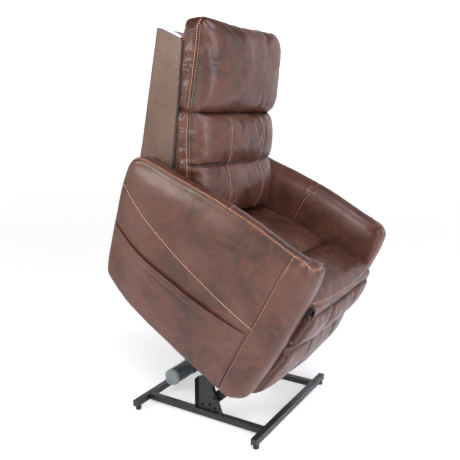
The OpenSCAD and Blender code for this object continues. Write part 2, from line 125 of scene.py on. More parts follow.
def graph(*points):
    """A function of one number, smooth through the points (x, y)."""
    curve = Curve(points)
    return lambda x: np.interp(x, curve.points[:, 0], curve.points[:, 1])


def spacing(n, marks, near):
    """About n even steps from 0 to 1, with closer ones beside each mark."""
    close = [m + k * near for m in marks for k in (-2, -1, 0, 1, 2)]
    fixed = sorted(set(round(float(c), 6) for c in close if 0 <= c <= 1))
    even = [e for e in np.linspace(0, 1, n + 1) if min(abs(e - f) for f in fixed) > 0.6 / n]
    return np.array(sorted(fixed + even))


class Box:
    """The surface of a box as quads: u from front to rear, v bottom to top, w across."""

    def __init__(self, us, vs, ws):
        self.us, self.vs, self.ws = us, vs, ws
        self.index = {}
        places = []
        counts = [len(shares) - 1 for shares in (us, vs, ws)]
        for i, j, k in np.ndindex(len(us), len(vs), len(ws)):
            if i in (0, counts[0]) or j in (0, counts[1]) or k in (0, counts[2]):
                self.index[i, j, k] = len(places)
                places.append((us[i], vs[j], ws[k]))
        self.u, self.v, self.w = np.array(places).T
        quads = []
        for axis in range(3):
            one, two = (axis + 1) % 3, (axis + 2) % 3
            low, high = sorted((one, two))
            for end in (0, counts[axis]):
                for a, b in np.ndindex(counts[low], counts[high]):
                    quad = []
                    for along_one, along_two in ((0, 0), (1, 0), (1, 1), (0, 1)):
                        place = [end] * 3
                        place[low], place[high] = a, b
                        place[one] += along_one
                        place[two] += along_two
                        quad.append(self.index[tuple(place)])
                    quads.append(quad if end == 0 else quad[::-1])
        self.quads = np.array(quads)[:, ::-1]

    def line(self, u=None, v=None, w=None):
        """Indices of the vertices along a box edge or grid line; None is the free one."""
        shares = (self.us, self.vs, self.ws)
        key = [None if x is None else int(np.argmin(abs(values - x)))
               for x, values in zip((u, v, w), shares)]
        free = key.index(None)
        line = []
        for key[free] in range(len(shares[free])):
            line.append(self.index[tuple(key)])
        return line


def coons(u, v, front, rear, bottom, top):
    """Points of a side outline (y, z), from four edge curves that share corners."""
    return blend_edges(u, v, front.at(v), rear.at(v), bottom.at(u), top.at(u),
                       [front.at(0), rear.at(0), front.at(1), rear.at(1)])


def blend_edges(u, v, front, rear, bottom, top, corners):
    """Points inside a four-sided outline; corners are low front, low rear, top front, top
    rear."""
    u, v = u[:, None], v[:, None]
    bilinear = ((1 - u) * (1 - v) * corners[0] + u * (1 - v) * corners[1]
                + (1 - u) * v * corners[2] + u * v * corners[3])
    return (1 - v) * bottom + v * top + (1 - u) * front + u * rear - bilinear


def fillet(d, e, r):
    """New distances from two faces that meet, once their edge is rounded to radius r."""
    m = np.minimum(d, e)
    s = d - e
    rr = np.maximum(r - m, 1e-6)
    half = rr * math.pi / 4
    extra = rr * (1 - math.pi / 4) * np.exp(-np.maximum(abs(s) - half, 0) / (2 * r))
    turn = np.clip((s + half) / (2 * half), 0, 1) * math.pi / 2
    on_arc = abs(s) < half
    new_d = np.where(on_arc, rr * (1 - np.cos(turn)), np.where(s > 0, s + extra, 0))
    new_e = np.where(on_arc, rr * (1 - np.sin(turn)), np.where(s > 0, 0, -s + extra))
    return m + new_d, m + new_e


def normals_of(points, quads):
    a, b, c, d = (points[quads[:, i]] for i in range(4))
    n = np.cross(c - a, d - b)
    total = np.zeros_like(points)
    for i in range(4):
        np.add.at(total, quads[:, i], n)
    return total / np.maximum(np.linalg.norm(total, axis=1, keepdims=True), 1e-12)


def outward(curve, t, flip, step=0.01):
    """The way a curve's outside faces at a share of its length; flip is 1 or -1."""
    d = curve.at(t + step) - curve.at(t - step)
    n = np.stack([d[:, 1], -d[:, 0]], -1) * flip
    return n / np.maximum(np.linalg.norm(n, axis=1, keepdims=True), 1e-9)


def path_distance(points, path):
    """Distance to a polyline, and how far along it the nearest place is, in metres."""
    best = np.full(len(points), 1e9)
    where = np.zeros(len(points))
    start = 0.0
    for a, b in zip(path[:-1], path[1:]):
        ab = b - a
        size = np.linalg.norm(ab)
        t = np.clip(((points - a) @ ab) / max(size * size, 1e-12), 0, 1)
        d = np.linalg.norm(points - a - t[:, None] * ab, axis=1)
        closer = d < best
        best[closer] = d[closer]
        where[closer] = start + t[closer] * size
        start += size
    return best, where


def fractal(points, scale, seed, octaves=3):
    """Smooth noise of about -1..1 at points, with features of the given size."""
    out = np.empty(len(points))
    shift = Vector((seed * 7.31, seed * 3.17, seed * 1.93))
    for i, p in enumerate(points / scale):
        out[i] = noise.fractal(Vector(p) + shift, 1.0, 2.0, octaves)
    return out


class Form:
    """A padded shape while it is being made: its box, vertices, quads and the shade painted into
    its creases.
    """

    def __init__(self, box, points):
        self.box, self.p, self.quads = box, points, box.quads
        self.crease_shade = np.zeros(len(points))

    def edge(self, **shares):
        """The vertices along a box edge or grid line, where they are now."""
        return self.p[self.box.line(**shares)]

    def normals(self):
        return normals_of(self.p, self.quads)

    def paint_shade(self, path, width, dark):
        """Paints shade into the leather along a path, and gives every vertex's distance from it."""
        d, _ = path_distance(self.p, path)
        self.crease_shade = np.maximum(self.crease_shade, dark * bell(d, width))
        return d

    def press(self, path, depth, width, swell=0.0, dark=1.0):
        """Sews a seam valley along a path, with the padding swelling beside it and shade painted
        into the valley.
        """
        d = self.paint_shade(path, width, dark)
        shape = swell * bell(d - 3 * width, 1.6 * width) - depth * bell(d, width)
        self.p += self.normals() * shape[:, None]

    def pucker(self, path, reach, pitch, size, seed):
        """Gathers that run out from a seam: waves along it that fade away from it."""
        d, s = path_distance(self.p, path)
        places = np.stack([s / pitch, d / (reach * 1.6), np.zeros(len(d))], -1)
        wave = fractal(places, 1.0, seed, 2)
        fade = bell(d, reach) * (1 - bell(d, 0.006))
        self.p += self.normals() * (size * wave * fade)[:, None]

    def rumple(self, scale, size, seed):
        """Soft unevenness of the padding all over, with features of the given scale."""
        self.p += self.normals() * (size * fractal(self.p, scale, seed))[:, None]


PRESSURE = 4.0
FRAMES = 20
# A hold weaker than this leaves a vertex free
SLIGHT = 0.02


def plump(form, held, cap, swell):
    """Swells a form like stuffed leather with a short cloth simulation. Held vertices stay
    (0 to 1), the leather grows by the share swell, and none moves further than cap."""
    scene = bpy.context.scene
    mesh = bpy.data.meshes.new("plump")
    mesh.from_pydata(form.p.tolist(), [], form.quads.tolist())
    piece = bpy.data.objects.new("plump", mesh)
    scene.collection.objects.link(piece)
    pins = piece.vertex_groups.new(name="pins")
    for i in np.flatnonzero(held > SLIGHT):
        pins.add([int(i)], float(min(held[i], 1)), "REPLACE")
    cloth = piece.modifiers.new("cloth", "CLOTH")
    fabric = cloth.settings
    fabric.quality = 6
    fabric.mass = 0.25
    fabric.tension_stiffness = fabric.compression_stiffness = 12
    fabric.shear_stiffness = 6
    fabric.bending_stiffness = 0.6
    fabric.shrink_min = -swell
    fabric.use_pressure = True
    fabric.uniform_pressure_force = PRESSURE
    fabric.vertex_group_mass = "pins"
    fabric.effector_weights.gravity = 0
    cloth.collision_settings.use_collision = False
    cloth.collision_settings.use_self_collision = False
    cloth.point_cache.frame_end = FRAMES
    for number in range(1, FRAMES + 1):
        scene.frame_set(number)
    state = piece.evaluated_get(bpy.context.evaluated_depsgraph_get())
    co = np.empty(len(form.p) * 3)
    state.data.vertices.foreach_get("co", co)
    moved = co.reshape(-1, 3) - form.p
    size = np.linalg.norm(moved, axis=1, keepdims=True)
    form.p += moved * (cap * np.tanh(size / cap) / np.maximum(size, 1e-9))
    scene.frame_set(1)
    bpy.data.objects.remove(piece)


def near_paths(points, paths, width):
    """1 on the paths, falling to 0 a few widths away."""
    held = np.zeros(len(points))
    for path in paths:
        d, _ = path_distance(points, path)
        held = np.maximum(held, np.clip(2 - d / width, 0, 1))
    return held


# ---- Making pieces ----


def sweep_faces(rings, sides, base=0):
    """The quads between rings of vertices, then a cap on the first and on the last ring."""
    faces = []
    for start in range(base, base + (rings - 1) * sides, sides):
        for k in range(sides):
            a, b = start + k, start + (k + 1) % sides
            faces.append((a, b, b + sides, a + sides))
    last = base + (rings - 1) * sides
    return faces + [tuple(range(base + sides - 1, base - 1, -1)),
                    tuple(range(last, last + sides))]


def leaf_faces(rows, columns):
    """The faces of a thin leaf: a grid of vertices, the same grid again, and their rim."""
    layer = rows * columns
    faces = []
    for i, j in np.ndindex(rows - 1, columns - 1):
        a = i * columns + j
        quad = (a, a + columns, a + columns + 1, a + 1)
        faces += [quad, tuple(layer + k for k in (quad[0], quad[3], quad[2], quad[1]))]
    grid = np.arange(layer).reshape(rows, columns)
    rim = [*grid[:-1, 0], *grid[-1, :-1], *grid[:0:-1, -1], *grid[0, :0:-1]]
    rim = [int(k) for k in rim]
    return faces + [(a, a + layer, b + layer, b) for a, b in zip(rim, rim[1:] + rim[:1])]

materials = {}


def new_mesh(name, points, faces, crease_shade=None):
    """A mesh object from points in the chair's frame, placed in the row frame."""
    mesh = bpy.data.meshes.new(name)
    mesh.from_pydata([tuple(p) for p in points], [], [tuple(int(i) for i in f) for f in faces])
    mesh.transform(CHAIR)
    mesh.shade_smooth()
    # The crease_shade attribute carries the shade painted into seams, folds and gaps
    if crease_shade is not None:
        mesh.attributes.new("crease_shade", "FLOAT", "POINT").data.foreach_set(
            "value", np.asarray(crease_shade, np.float32))
    piece = bpy.data.objects.new(name, mesh)
    bpy.context.scene.collection.objects.link(piece)
    return piece


def finish_piece(piece, body, material, replaced=(), subdivide=0):
    piece.data.materials.append(materials[material])
    if subdivide:
        smooth = piece.modifiers.new("smooth", "SUBSURF")
        smooth.levels = smooth.render_levels = subdivide
        bake_modifiers(piece)
    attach(piece, body)
    if replaced:
        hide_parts(*replaced)
    return piece


def upholster(name, form, body):
    """The finished leather piece over a form; it stands for the node of the same name."""
    piece = new_mesh(name, form.p, form.quads, form.crease_shade)
    return finish_piece(piece, body, "leather", [name], 1)


def bake_modifiers(piece):
    graph_now = bpy.context.evaluated_depsgraph_get()
    made = bpy.data.meshes.new_from_object(piece.evaluated_get(graph_now),
                                           preserve_all_data_layers=True,
                                           depsgraph=graph_now)
    piece.modifiers.clear()
    piece.data = made


def surface_of(piece):
    """A search tree over a piece's own mesh, in the chair's frame."""
    mesh = piece.data
    back = CHAIR.inverted()
    faces = [tuple(f.vertices) for f in mesh.polygons]
    return BVHTree.FromPolygons([back @ v.co for v in mesh.vertices], faces)


STITCH_PITCH = 0.0092
STITCH_LENGTH = 0.0072
THREAD = 0.0010
# How far the middle line of the thread stands off the leather
PROUD = 0.0002


def stitches(name, path, surface, body, offset=0.0, toward=None, thread=THREAD,
             material="thread"):
    """A row of sewn stitches on a surface, at a sideways offset from a path."""
    curve = Curve(path, 6)
    count = max(int(curve.length / STITCH_PITCH), 2)
    turn = np.linspace(0, 2 * math.pi, 6, endpoint=False)
    ring = [(math.cos(a), math.sin(a)) for a in turn]
    # Along the stitch, thickness, height: it dives into the leather at both ends
    stations = [(-0.5, 0.45, -0.9), (-0.3, 1.0, 0.0), (0.0, 1.1, 0.25),
                (0.3, 1.0, 0.0), (0.5, 0.45, -0.9)]
    points, faces = [], []
    for n in range(count):
        share = (n + 0.5) / count
        ahead = curve.at(share + 0.001) - curve.at(share - 0.001)
        place, normal, _, _ = surface.find_nearest(Vector(curve.at(share)))
        tangent = Vector(ahead).normalized()
        side = tangent.cross(normal).normalized()
        if toward is not None and side.dot(Vector(toward)) < 0:
            side = -side
        if offset:
            place, normal, _, _ = surface.find_nearest(place + side * offset)
        tangent = (tangent - normal * tangent.dot(normal)).normalized()
        side = tangent.cross(normal)
        base = len(points)
        for along, size, lift in stations:
            centre = (place + tangent * (along * STITCH_LENGTH)
                      + normal * (PROUD + lift * thread * 0.6))
            for c, s in ring:
                points.append(centre + side * (c * size * thread)
                              + normal * (s * size * thread * 0.7))
        faces += sweep_faces(len(stations), len(ring), base)
    finish_piece(new_mesh(name, points, faces), body, material)


def tube(name, path, radius, body, material):
    """A round cord along a path."""
    sides = 8
    curve = Curve(path, 8)
    count = max(int(curve.length / 0.006), 4)
    centres = curve.at(np.linspace(0, 1, count + 1))
    tangents = np.gradient(centres, axis=0)
    tangents /= np.linalg.norm(tangents, axis=1, keepdims=True)
    a = np.cross(tangents, np.full(3, 0.577))
    a /= np.linalg.norm(a, axis=1, keepdims=True)
    b = np.cross(tangents, a)
    turn = np.linspace(0, 2 * math.pi, sides, endpoint=False)[:, None]
    rings = centres[:, None] + radius * (np.cos(turn) * a[:, None] + np.sin(turn) * b[:, None])
    piece = new_mesh(name, rings.reshape(-1, 3), sweep_faces(count + 1, sides))
    finish_piece(piece, body, material)


# ---- Materials ----


class Shader:
    """A small builder for one node material; most calls add a node and give its output."""

    def __init__(self, name):
        self.material = bpy.data.materials.new(name)
        self.material.use_nodes = True
        self.tree = self.material.node_tree
        self.principled = next(n for n in self.tree.nodes if n.type == "BSDF_PRINCIPLED")
        self.where = self.add("ShaderNodeTexCoord").outputs["Object"]
        materials[name] = self.material

    def add(self, kind, links=(), **values):
        node = self.tree.nodes.new(kind)
        for key, value in values.items():
            setattr(node, key, value)
        for socket, source in dict(links).items():
            self.feed(node.inputs[socket], source)
        return node

    def feed(self, socket, source):
        if isinstance(source, bpy.types.NodeSocket):
            self.tree.links.new(source, socket)
        else:
            socket.default_value = source

    def scaled(self, x, y, z):
        node = self.add("ShaderNodeMapping", {"Vector": self.where})
        node.inputs["Scale"].default_value = (x, y, z)
        return node.outputs["Vector"]

    def noise(self, scale, detail=3.0, rough=0.5, warp=0.0, vector=None):
        node = self.add("ShaderNodeTexNoise", {
            "Vector": vector or self.where, "Scale": scale, "Detail": detail,
            "Roughness": rough, "Distortion": warp})
        return node.outputs["Fac"]

    def cells(self, scale, feature):
        node = self.add("ShaderNodeTexVoronoi", {"Vector": self.where, "Scale": scale},
                        feature=feature)
        return node.outputs["Distance"]

    def ramp(self, source, *stops):
        node = self.add("ShaderNodeValToRGB", {"Fac": source})
        ramp = node.color_ramp
        while len(ramp.elements) < len(stops):
            ramp.elements.new(0.5)
        for element, (place, colour) in zip(ramp.elements, stops):
            element.position = place
            element.color = (*colour, 1) if len(colour) == 3 else colour
        return node.outputs["Color"]

    def range(self, source, low, high, out_low, out_high):
        node = self.add("ShaderNodeMapRange", {
            "Value": source, "From Min": low, "From Max": high,
            "To Min": out_low, "To Max": out_high})
        return node.outputs["Result"]

    def math(self, kind, a, b=0.0):
        node = self.add("ShaderNodeMath", operation=kind)
        self.feed(node.inputs[0], a)
        self.feed(node.inputs[1], b)
        return node.outputs[0]

    def mix(self, factor, a, b, kind="MIX"):
        node = self.add("ShaderNodeMix", data_type="RGBA", blend_type=kind)
        self.feed(node.inputs["Factor"], factor)
        for socket, colour in ((node.inputs[6], a), (node.inputs[7], b)):
            self.feed(socket, (*colour, 1) if isinstance(colour, tuple) else colour)
        return node.outputs[2]

    def attribute(self, name):
        return self.add("ShaderNodeAttribute", attribute_name=name).outputs["Fac"]

    def bump(self, height, strength, distance, below=None):
        node = self.add("ShaderNodeBump", {"Height": height, "Strength": strength,
                                           "Distance": distance})
        if below is not None:
            self.feed(node.inputs["Normal"], below)
        return node.outputs["Normal"]

    def out(self, **values):
        for name, value in values.items():
            socket = self.principled.inputs[name.replace("_", " ")]
            if isinstance(value, tuple) and len(value) == 3:
                value = (*value, 1)
            self.feed(socket, value)


def leather(name, mid, dark, rust, pale, roughness=0.37, coat=0.18):
    """Waxed faux leather: clouded brown with rust, fine grain, shade painted into its creases, a
    soft gloss.
    """
    s = Shader(name)
    clouds = s.noise(5.5, 5, 0.6, 0.6)
    colour = s.ramp(clouds, (0.30, dark), (0.52, mid), (0.74, pale))
    rusty = s.range(s.noise(13, 6, 0.62, 1.2, s.scaled(1.0, 0.8, 1.3)), 0.50, 0.72, 0, 0.75)
    colour = s.mix(rusty, colour, rust)
    flecks = s.range(s.noise(95, 4, 0.7), 0.35, 0.7, 0.86, 1.12)
    grain = s.cells(560, "DISTANCE_TO_EDGE")
    pores = s.range(grain, 0.0, 0.10, 0.78, 1.0)
    shade = s.math("MULTIPLY", flecks, pores)
    colour = s.mix(1.0, colour, s.ramp(shade, (0, (0, 0, 0)), (1, (1, 1, 1))), "MULTIPLY")
    # Painted shade: the colour goes near-black where crease_shade marks seams, folds and gaps
    crease_shade = s.attribute("crease_shade")
    colour = s.mix(s.range(crease_shade, 0.15, 1.0, 0, 0.82), colour, tuple(c * 0.22 for c in dark))
    worn = s.noise(22, 5, 0.6, 0.4)
    gloss = s.range(worn, 0.3, 0.7, roughness - 0.06, roughness + 0.1)
    s.out(Base_Color=colour, Roughness=gloss, Specular_IOR_Level=0.34, Coat_Weight=coat,
          Coat_Roughness=0.20)
    skin = s.range(grain, 0.0, 0.22, 0, 1)
    lines = s.noise(60, 6, 0.65, 1.8, s.scaled(1.0, 1.0, 0.55))
    low = s.bump(lines, 0.30, 0.0012)
    s.out(Normal=s.bump(skin, 0.22, 0.0004, low))


def satin(name, colour, roughness, metallic=0.0):
    """Smooth paint, plastic or metal with a faint cloud in its colour."""
    s = Shader(name)
    cloud = s.noise(9, 4, 0.55)
    base = s.ramp(cloud, (0.3, tuple(c * 0.78 for c in colour)), (0.7, tuple(
        min(c * 1.2, 1) for c in colour)))
    s.out(Base_Color=base, Roughness=s.range(s.noise(30, 5, 0.6), 0.3, 0.7,
                                              roughness - 0.08, roughness + 0.1))
    s.out(Metallic=metallic, Normal=s.bump(s.noise(900, 2, 0.5), 0.12, 0.0003))


def timber(name):
    """Pale board with grain along Y."""
    s = Shader(name)
    rings = s.noise(7, 6, 0.6, 2.2, s.scaled(9, 1, 9))
    s.out(Base_Color=s.ramp(rings, (0.3, (0.42, 0.27, 0.14)), (0.5, (0.60, 0.43, 0.25)),
                            (0.7, (0.72, 0.55, 0.35))),
          Roughness=s.range(rings, 0.3, 0.7, 0.55, 0.75))
    s.out(Normal=s.bump(rings, 0.25, 0.0008))


def thread_material(name, colour):
    """Twisted sewing thread."""
    s = Shader(name)
    twist = s.add("ShaderNodeTexWave", {"Vector": s.where, "Scale": 420.0,
                                        "Distortion": 2.0}).outputs["Fac"]
    s.out(Base_Color=s.ramp(s.noise(140, 2, 0.5), (0.3, tuple(c * 0.75 for c in colour)),
                            (0.7, tuple(min(1, c * 1.15) for c in colour))),
          Roughness=s.range(twist, 0, 1, 0.5, 0.7))
    s.out(Sheen_Weight=0.2, Normal=s.bump(twist, 0.4, 0.0003))


leather("leather", (0.086, 0.0325, 0.0215), (0.036, 0.0135, 0.0085), (0.124, 0.039, 0.017),
        (0.114, 0.052, 0.037))
leather("leather_shell", (0.128, 0.072, 0.050), (0.105, 0.057, 0.039),
        (0.142, 0.071, 0.046), (0.150, 0.092, 0.068), roughness=0.44, coat=0.10)
thread_material("thread", (0.62, 0.27, 0.13))
thread_material("thread_pale", (0.78, 0.45, 0.28))
satin("piping", (0.035, 0.020, 0.018), 0.45)
satin("frame_black", (0.011, 0.011, 0.013), 0.34, 0.15)
satin("cap_black", (0.016, 0.016, 0.018), 0.45)
satin("zinc", (0.55, 0.56, 0.58), 0.34, 0.9)
satin("motor_dark", (0.050, 0.060, 0.068), 0.45)
satin("motor_grey", (0.21, 0.245, 0.25), 0.42)
satin("liner", (0.88, 0.87, 0.85), 0.6)
# A near-black sheet that paints the shade in the gaps behind the back cushions
satin("shade_sheet", (0.012, 0.011, 0.011), 0.8)
timber("wood")


# ---- Arms ----

ARM_FRONT = trace((-92, 1), (-110, 34), (-114, 102), (-112, 222), (-104, 336), (-88, 515),
                  (-72, 592), (-56, 622))
ARM_TOP = trace((-56, 622), (-30, 627), (42, 614), (213, 604), (318, 592), (434, 575), (571, 549),
                (708, 526), (747, 506))
ARM_REAR = trace((645, 42), (706, 242), (743, 370), (758, 460), (747, 506))
ARM_BOTTOM = trace((-92, 1), (-66, -8), (-20, -12), (74, -16), (262, -20), (448, -18), (532, -5),
                   (630, 22), (645, 42))
ARM_SEAM = trace((-20, -12), (4, 300), (31, 616))
ARM_SEAM_U = 0.14
CROSS_SEAM_Y = 0.318
# Top and inner side of an arm, from the outer seam over the crest and down: x, rise
ARM_ROLL = trace((408, 0), (401, 5), (387, 8), (366, 7), (346, 1), (330, -10), (318, -26),
                 (309, -48), (304.5, -74), (303.5, -100))
# An arm's height at its front, and how much less it is at its rear
ARM_HEIGHT = 0.62
ARM_FALL = 0.10
# Length of the roll that the top of the arm takes up
ARM_ROLL_TOP = 0.118


def arm_side_points(box):
    """Side outline of an arm's vertices: the wrapped front and the long side panel."""
    ahead = box.u < ARM_SEAM_U
    local = np.where(ahead, box.u / ARM_SEAM_U, (box.u - ARM_SEAM_U) / (1 - ARM_SEAM_U))
    low_cut = share_at(ARM_BOTTOM, ARM_SEAM.at(0))
    top_cut = share_at(ARM_TOP, ARM_SEAM.at(1))
    low = ARM_BOTTOM.at(np.where(ahead, local * low_cut, low_cut + local * (1 - low_cut)))
    top = ARM_TOP.at(np.where(ahead, local * top_cut, top_cut + local * (1 - top_cut)))
    seam = ARM_SEAM.at(box.v)
    front = np.where(ahead[:, None], ARM_FRONT.at(box.v), seam)
    rear = np.where(ahead[:, None], seam, ARM_REAR.at(box.v))
    return blend_edges(local, box.v, front, rear, low, top, [
        np.where(ahead[:, None], a, b) for a, b in (
            (ARM_FRONT.at(0), ARM_SEAM.at(0)), (ARM_SEAM.at(0), ARM_REAR.at(0)),
            (ARM_FRONT.at(1), ARM_SEAM.at(1)), (ARM_SEAM.at(1), ARM_REAR.at(1)))])


def share_at(curve, point):
    """Share of a curve's length at the place nearest to a point."""
    return curve.share[np.argmin(np.linalg.norm(curve.points - point, axis=1))]


def arm(side):
    """One padded arm: outer panel, wrapped front, and a crowned top that rolls inwards."""
    name = "arm_left" if side > 0 else "arm_right"
    box = Box(spacing(84, (0, ARM_SEAM_U, 1), 0.005), spacing(60, (0, 1), 0.007),
              spacing(15, (0, 1), 0.05))
    flat = arm_side_points(box)
    depth = (ARM_REAR.at(box.v) - ARM_FRONT.at(box.v))[:, 0]
    height = ARM_HEIGHT - ARM_FALL * box.u
    thick = ARM_OUT - ARM_IN
    # Distance of every vertex from each face, before and after the edges are rounded
    front0, rear0 = box.u * depth, (1 - box.u) * depth
    low0, top0 = box.v * height, (1 - box.v) * height
    inner, outer = box.w * thick, (1 - box.w) * thick
    front, outer = fillet(front0, outer, 0.050)
    front, inner = fillet(front, inner, 0.024)
    rear, outer = fillet(rear0, outer, 0.016)
    rear, inner = fillet(rear, inner, 0.016)
    low, outer = fillet(low0, outer, 0.012)
    low, inner = fillet(low, inner, 0.012)
    n_top = outward(ARM_TOP, np.clip(box.u * 1.02, 0, 1), -1)
    yz = (flat - outward(ARM_FRONT, box.v, -1) * (front - front0)[:, None]
          - outward(ARM_REAR, box.v, 1) * (rear - rear0)[:, None]
          - outward(ARM_BOTTOM, box.u, 1) * (low - low0)[:, None])
    edge = np.minimum.reduce([front0, rear0, low0, top0])
    puff = 0.006 * (1 - bell(edge, 0.06))
    x = np.where(box.w > 0.5, ARM_OUT - outer + puff, ARM_IN + inner)
    # The leather from the outer seam over the top, then down the inner side, follows a roll
    along = np.where(box.v == 1, (1 - box.w) * ARM_ROLL_TOP, ARM_ROLL_TOP + top0)
    rolls = (box.v == 1) | (box.w == 0)
    length = ARM_ROLL.length
    roll = ARM_ROLL.at(np.clip(along / length, 0, 1))
    calm = 1 - 0.75 * bell(front0, 0.055) - 0.5 * bell(rear0, 0.05)
    rise = np.where(roll[:, 1] > 0, roll[:, 1] * calm, roll[:, 1])
    sunk = np.where(box.v == 1, 0, top0)
    past = np.clip(along - length, 0, None)
    settle = np.exp(-past / 0.08)
    tail = length - ARM_ROLL_TOP + ARM_ROLL.at(1)[1]
    # The roll fades out towards the front and rear tips
    leans = 1 - bell(front0, 0.045) - bell(rear0, 0.04)
    leans = np.clip(leans, 0, 1)
    shift = np.where(along < length, rise + sunk, tail * settle) * leans
    yz += n_top * np.where(rolls, shift, 0)[:, None]
    yz -= outward(ARM_BOTTOM, box.u, 1) * (0.005 * bell(low0, 0.04))[:, None]
    leans = np.where(rolls & (along < length), leans, 0)
    x = x * (1 - leans) + np.maximum(roll[:, 0], ARM_IN) * leans
    x -= np.where(box.w == 1, 0.013 * bell(top0, 0.055) * calm, 0)
    form = Form(box, np.column_stack([x, yz]))
    outer_seam = np.vstack([form.edge(v=1, w=1)[::-1], form.edge(u=0, v=1)[::-1]])
    front_seam = form.edge(u=ARM_SEAM_U, w=1)
    cross = form.p[cross_seam_line(form)]
    slant = on_outer_panel(mm((735, 392), (719, 387), (597, 345), (446, 318), (354, 308),
                              (229, 299), (128, 296), (6, 297)))
    # Each seam is pressed in, with shade painted into its valley
    form.press(outer_seam, 0.0045, 0.0055, 0.0016)
    form.press(front_seam, 0.0035, 0.0045, 0.0016)
    form.press(cross, 0.0025, 0.004, 0.001, 0.8)
    form.press(slant, 0.0012, 0.004, 0.0, 0.3)
    tip = bell(form.p[:, 1], 0.09)
    form.pucker(outer_seam, 0.030, 0.016, 0.0010 + 0.0014 * tip, 3)
    form.pucker(front_seam, 0.022, 0.030, 0.0009, 5)
    form.rumple(0.16, 0.0018, 11)
    form.rumple(0.05, 0.0005, 12)
    # Stitch rows run on the grid lines next to each seam
    side_row = np.vstack([form.edge(v=box.vs[-2], w=1)[::-1],
                          form.edge(u=0, v=box.vs[-2])[-3:3:-1]])
    top_row = np.vstack([form.edge(v=1, w=box.ws[-2])[::-1],
                         form.edge(u=box.us[1], v=1)[-3:3:-1]])
    ahead = box.us[np.argmin(abs(box.us - ARM_SEAM_U)) - 1]
    paths = {"top": top_row, "side": side_row, "cross": cross, "slant": slant,
             "front": form.edge(u=ahead, w=1), "inner": form.edge(u=0, w=box.ws[1])}
    flip = np.array([side, 1, 1])
    form.p = form.p * flip
    if side < 0:
        form.quads = form.quads[:, ::-1]
    piece = upholster(name, form, "seat_frame")
    return piece, {k: p * flip for k, p in paths.items()}


def cross_seam_line(form):
    """The grid line across the top, from the outer seam over and down the inner face."""
    box = form.box
    i = int(np.argmin(abs(form.edge(v=1, w=1)[:, 1] - CROSS_SEAM_Y)))
    nv, nw = len(box.vs) - 1, len(box.ws) - 1
    over = [box.index[i, nv, k] for k in range(nw, -1, -1)]
    down = [box.index[i, j, 0] for j in range(nv - 1, nv // 3, -1)]
    return over + down


def on_outer_panel(line):
    """A smooth line (y, z) laid just outside an arm's outer panel."""
    curve = Curve(line, 12).points
    return np.column_stack([np.full(len(curve), ARM_OUT + 0.005), curve])


def arm_stitches(piece, paths):
    surface = surface_of(piece)
    paths["inner"] = paths["inner"][len(paths["inner"]) // 2:-4]
    for part, options in (("top", {"thread": 0.0012}), ("side", {"thread": 0.0008}),
                          ("front", {}), ("cross", {"offset": 0.005, "toward": (0, -1, 0)}),
                          ("slant", {"material": "thread_pale"}), ("inner", {})):
        stitches(f"{piece.name}_{part}_stitch", paths[part], surface, "seat_frame", **options)


# ---- Side pockets ----

POCKET_MOUTH = trace((15, 268), (90, 252), (174, 239), (321, 223), (535, 212), (690, 238))
POCKET_FRONT = trace((-12, 9), (2, 140), (15, 268))
POCKET_REAR = trace((632, 50), (662, 140), (690, 238))
POCKET_LOW = trace((-12, 9), (74, 0), (262, -5), (448, -3), (532, 9), (610, 30), (632, 50))
POCKET_LEATHER = 0.0024
# A soft fold in the leaf, from the rear to the front
POCKET_FOLD = mm((560, 176), (517, 181), (400, 178), (296, 183), (190, 200), (88, 222))


def pocket(side, arm_piece):
    """The side pocket: a leather leaf on the arm's outer panel, its mouth standing proud."""
    name = "side_pocket_left" if side > 0 else "side_pocket_right"
    us, vs = np.linspace(0, 1, 85), 1 - (1 - np.linspace(0, 1, 37)) ** 1.3
    u, v = (grid.ravel() for grid in np.meshgrid(us, vs, indexing="ij"))
    flat = coons(u, v, POCKET_FRONT, POCKET_REAR, POCKET_LOW, POCKET_MOUTH)
    surface = surface_of(arm_piece)
    span = np.sin(math.pi * np.clip(u, 0, 1)) ** 0.5
    lift = 0.0035 + 0.0095 * span * bell(1 - v, 0.20)
    lift += 0.004 * span * np.sin(math.pi * v) ** 0.6
    fold, s = path_distance(np.column_stack([np.zeros(len(flat)), flat]),
                            np.column_stack([np.zeros(len(POCKET_FOLD)), POCKET_FOLD]))
    fade = np.clip(s / 0.12, 0, 1) * np.clip((0.50 - s) / 0.22, 0, 1)
    lift -= 0.0045 * bell(fold, 0.009) * fade
    lift += 0.0030 * bell(fold - 0.018, 0.012) * fade
    places = np.column_stack([flat, np.zeros(len(flat))])
    lift += 0.0022 * fractal(places, 0.11, 81) + 0.0008 * fractal(places, 0.035, 82)
    lift = np.maximum(lift, 0.003)
    outer = []
    for (y, z), up in zip(flat, lift):
        place, _, _, _ = surface.ray_cast(Vector((side * 0.6, y, z)), Vector((-side, 0, 0)))
        if place is None:
            place, _, _, _ = surface.find_nearest(Vector((side * 0.41, y, z)))
        outer.append((place.x + side * up, y, z))
    outer = np.array(outer)
    inner = outer - np.array([side * POCKET_LEATHER, 0, 0])
    faces = leaf_faces(len(us), len(vs))
    if side < 0:
        faces = [f[::-1] for f in faces]
    # Painted shade along the soft fold and the leaf's lower, front and rear edges, and over the
    # whole inner sheet
    crease_shade = bell(fold, 0.006) * fade * 0.6
    crease_shade = np.maximum(crease_shade, 0.7 * bell(v, 0.02))
    crease_shade = np.maximum(crease_shade, 0.7 * bell(np.minimum(u, 1 - u), 0.006))
    piece = new_mesh(name, np.vstack([outer, inner]), faces,
                     np.concatenate([crease_shade, np.ones(len(crease_shade))]))
    finish_piece(piece, "seat_frame", "leather", [name])


# ---- Back cushions ----

# Side seam of the back cushions, from the seat up to the top of the headrest
BACK_SEAM = trace((475, 396), (498, 430), (586, 562), (644, 649), (692, 740), (724, 813),
                  (765, 910), (792, 974), (817, 1022), (833, 1046))
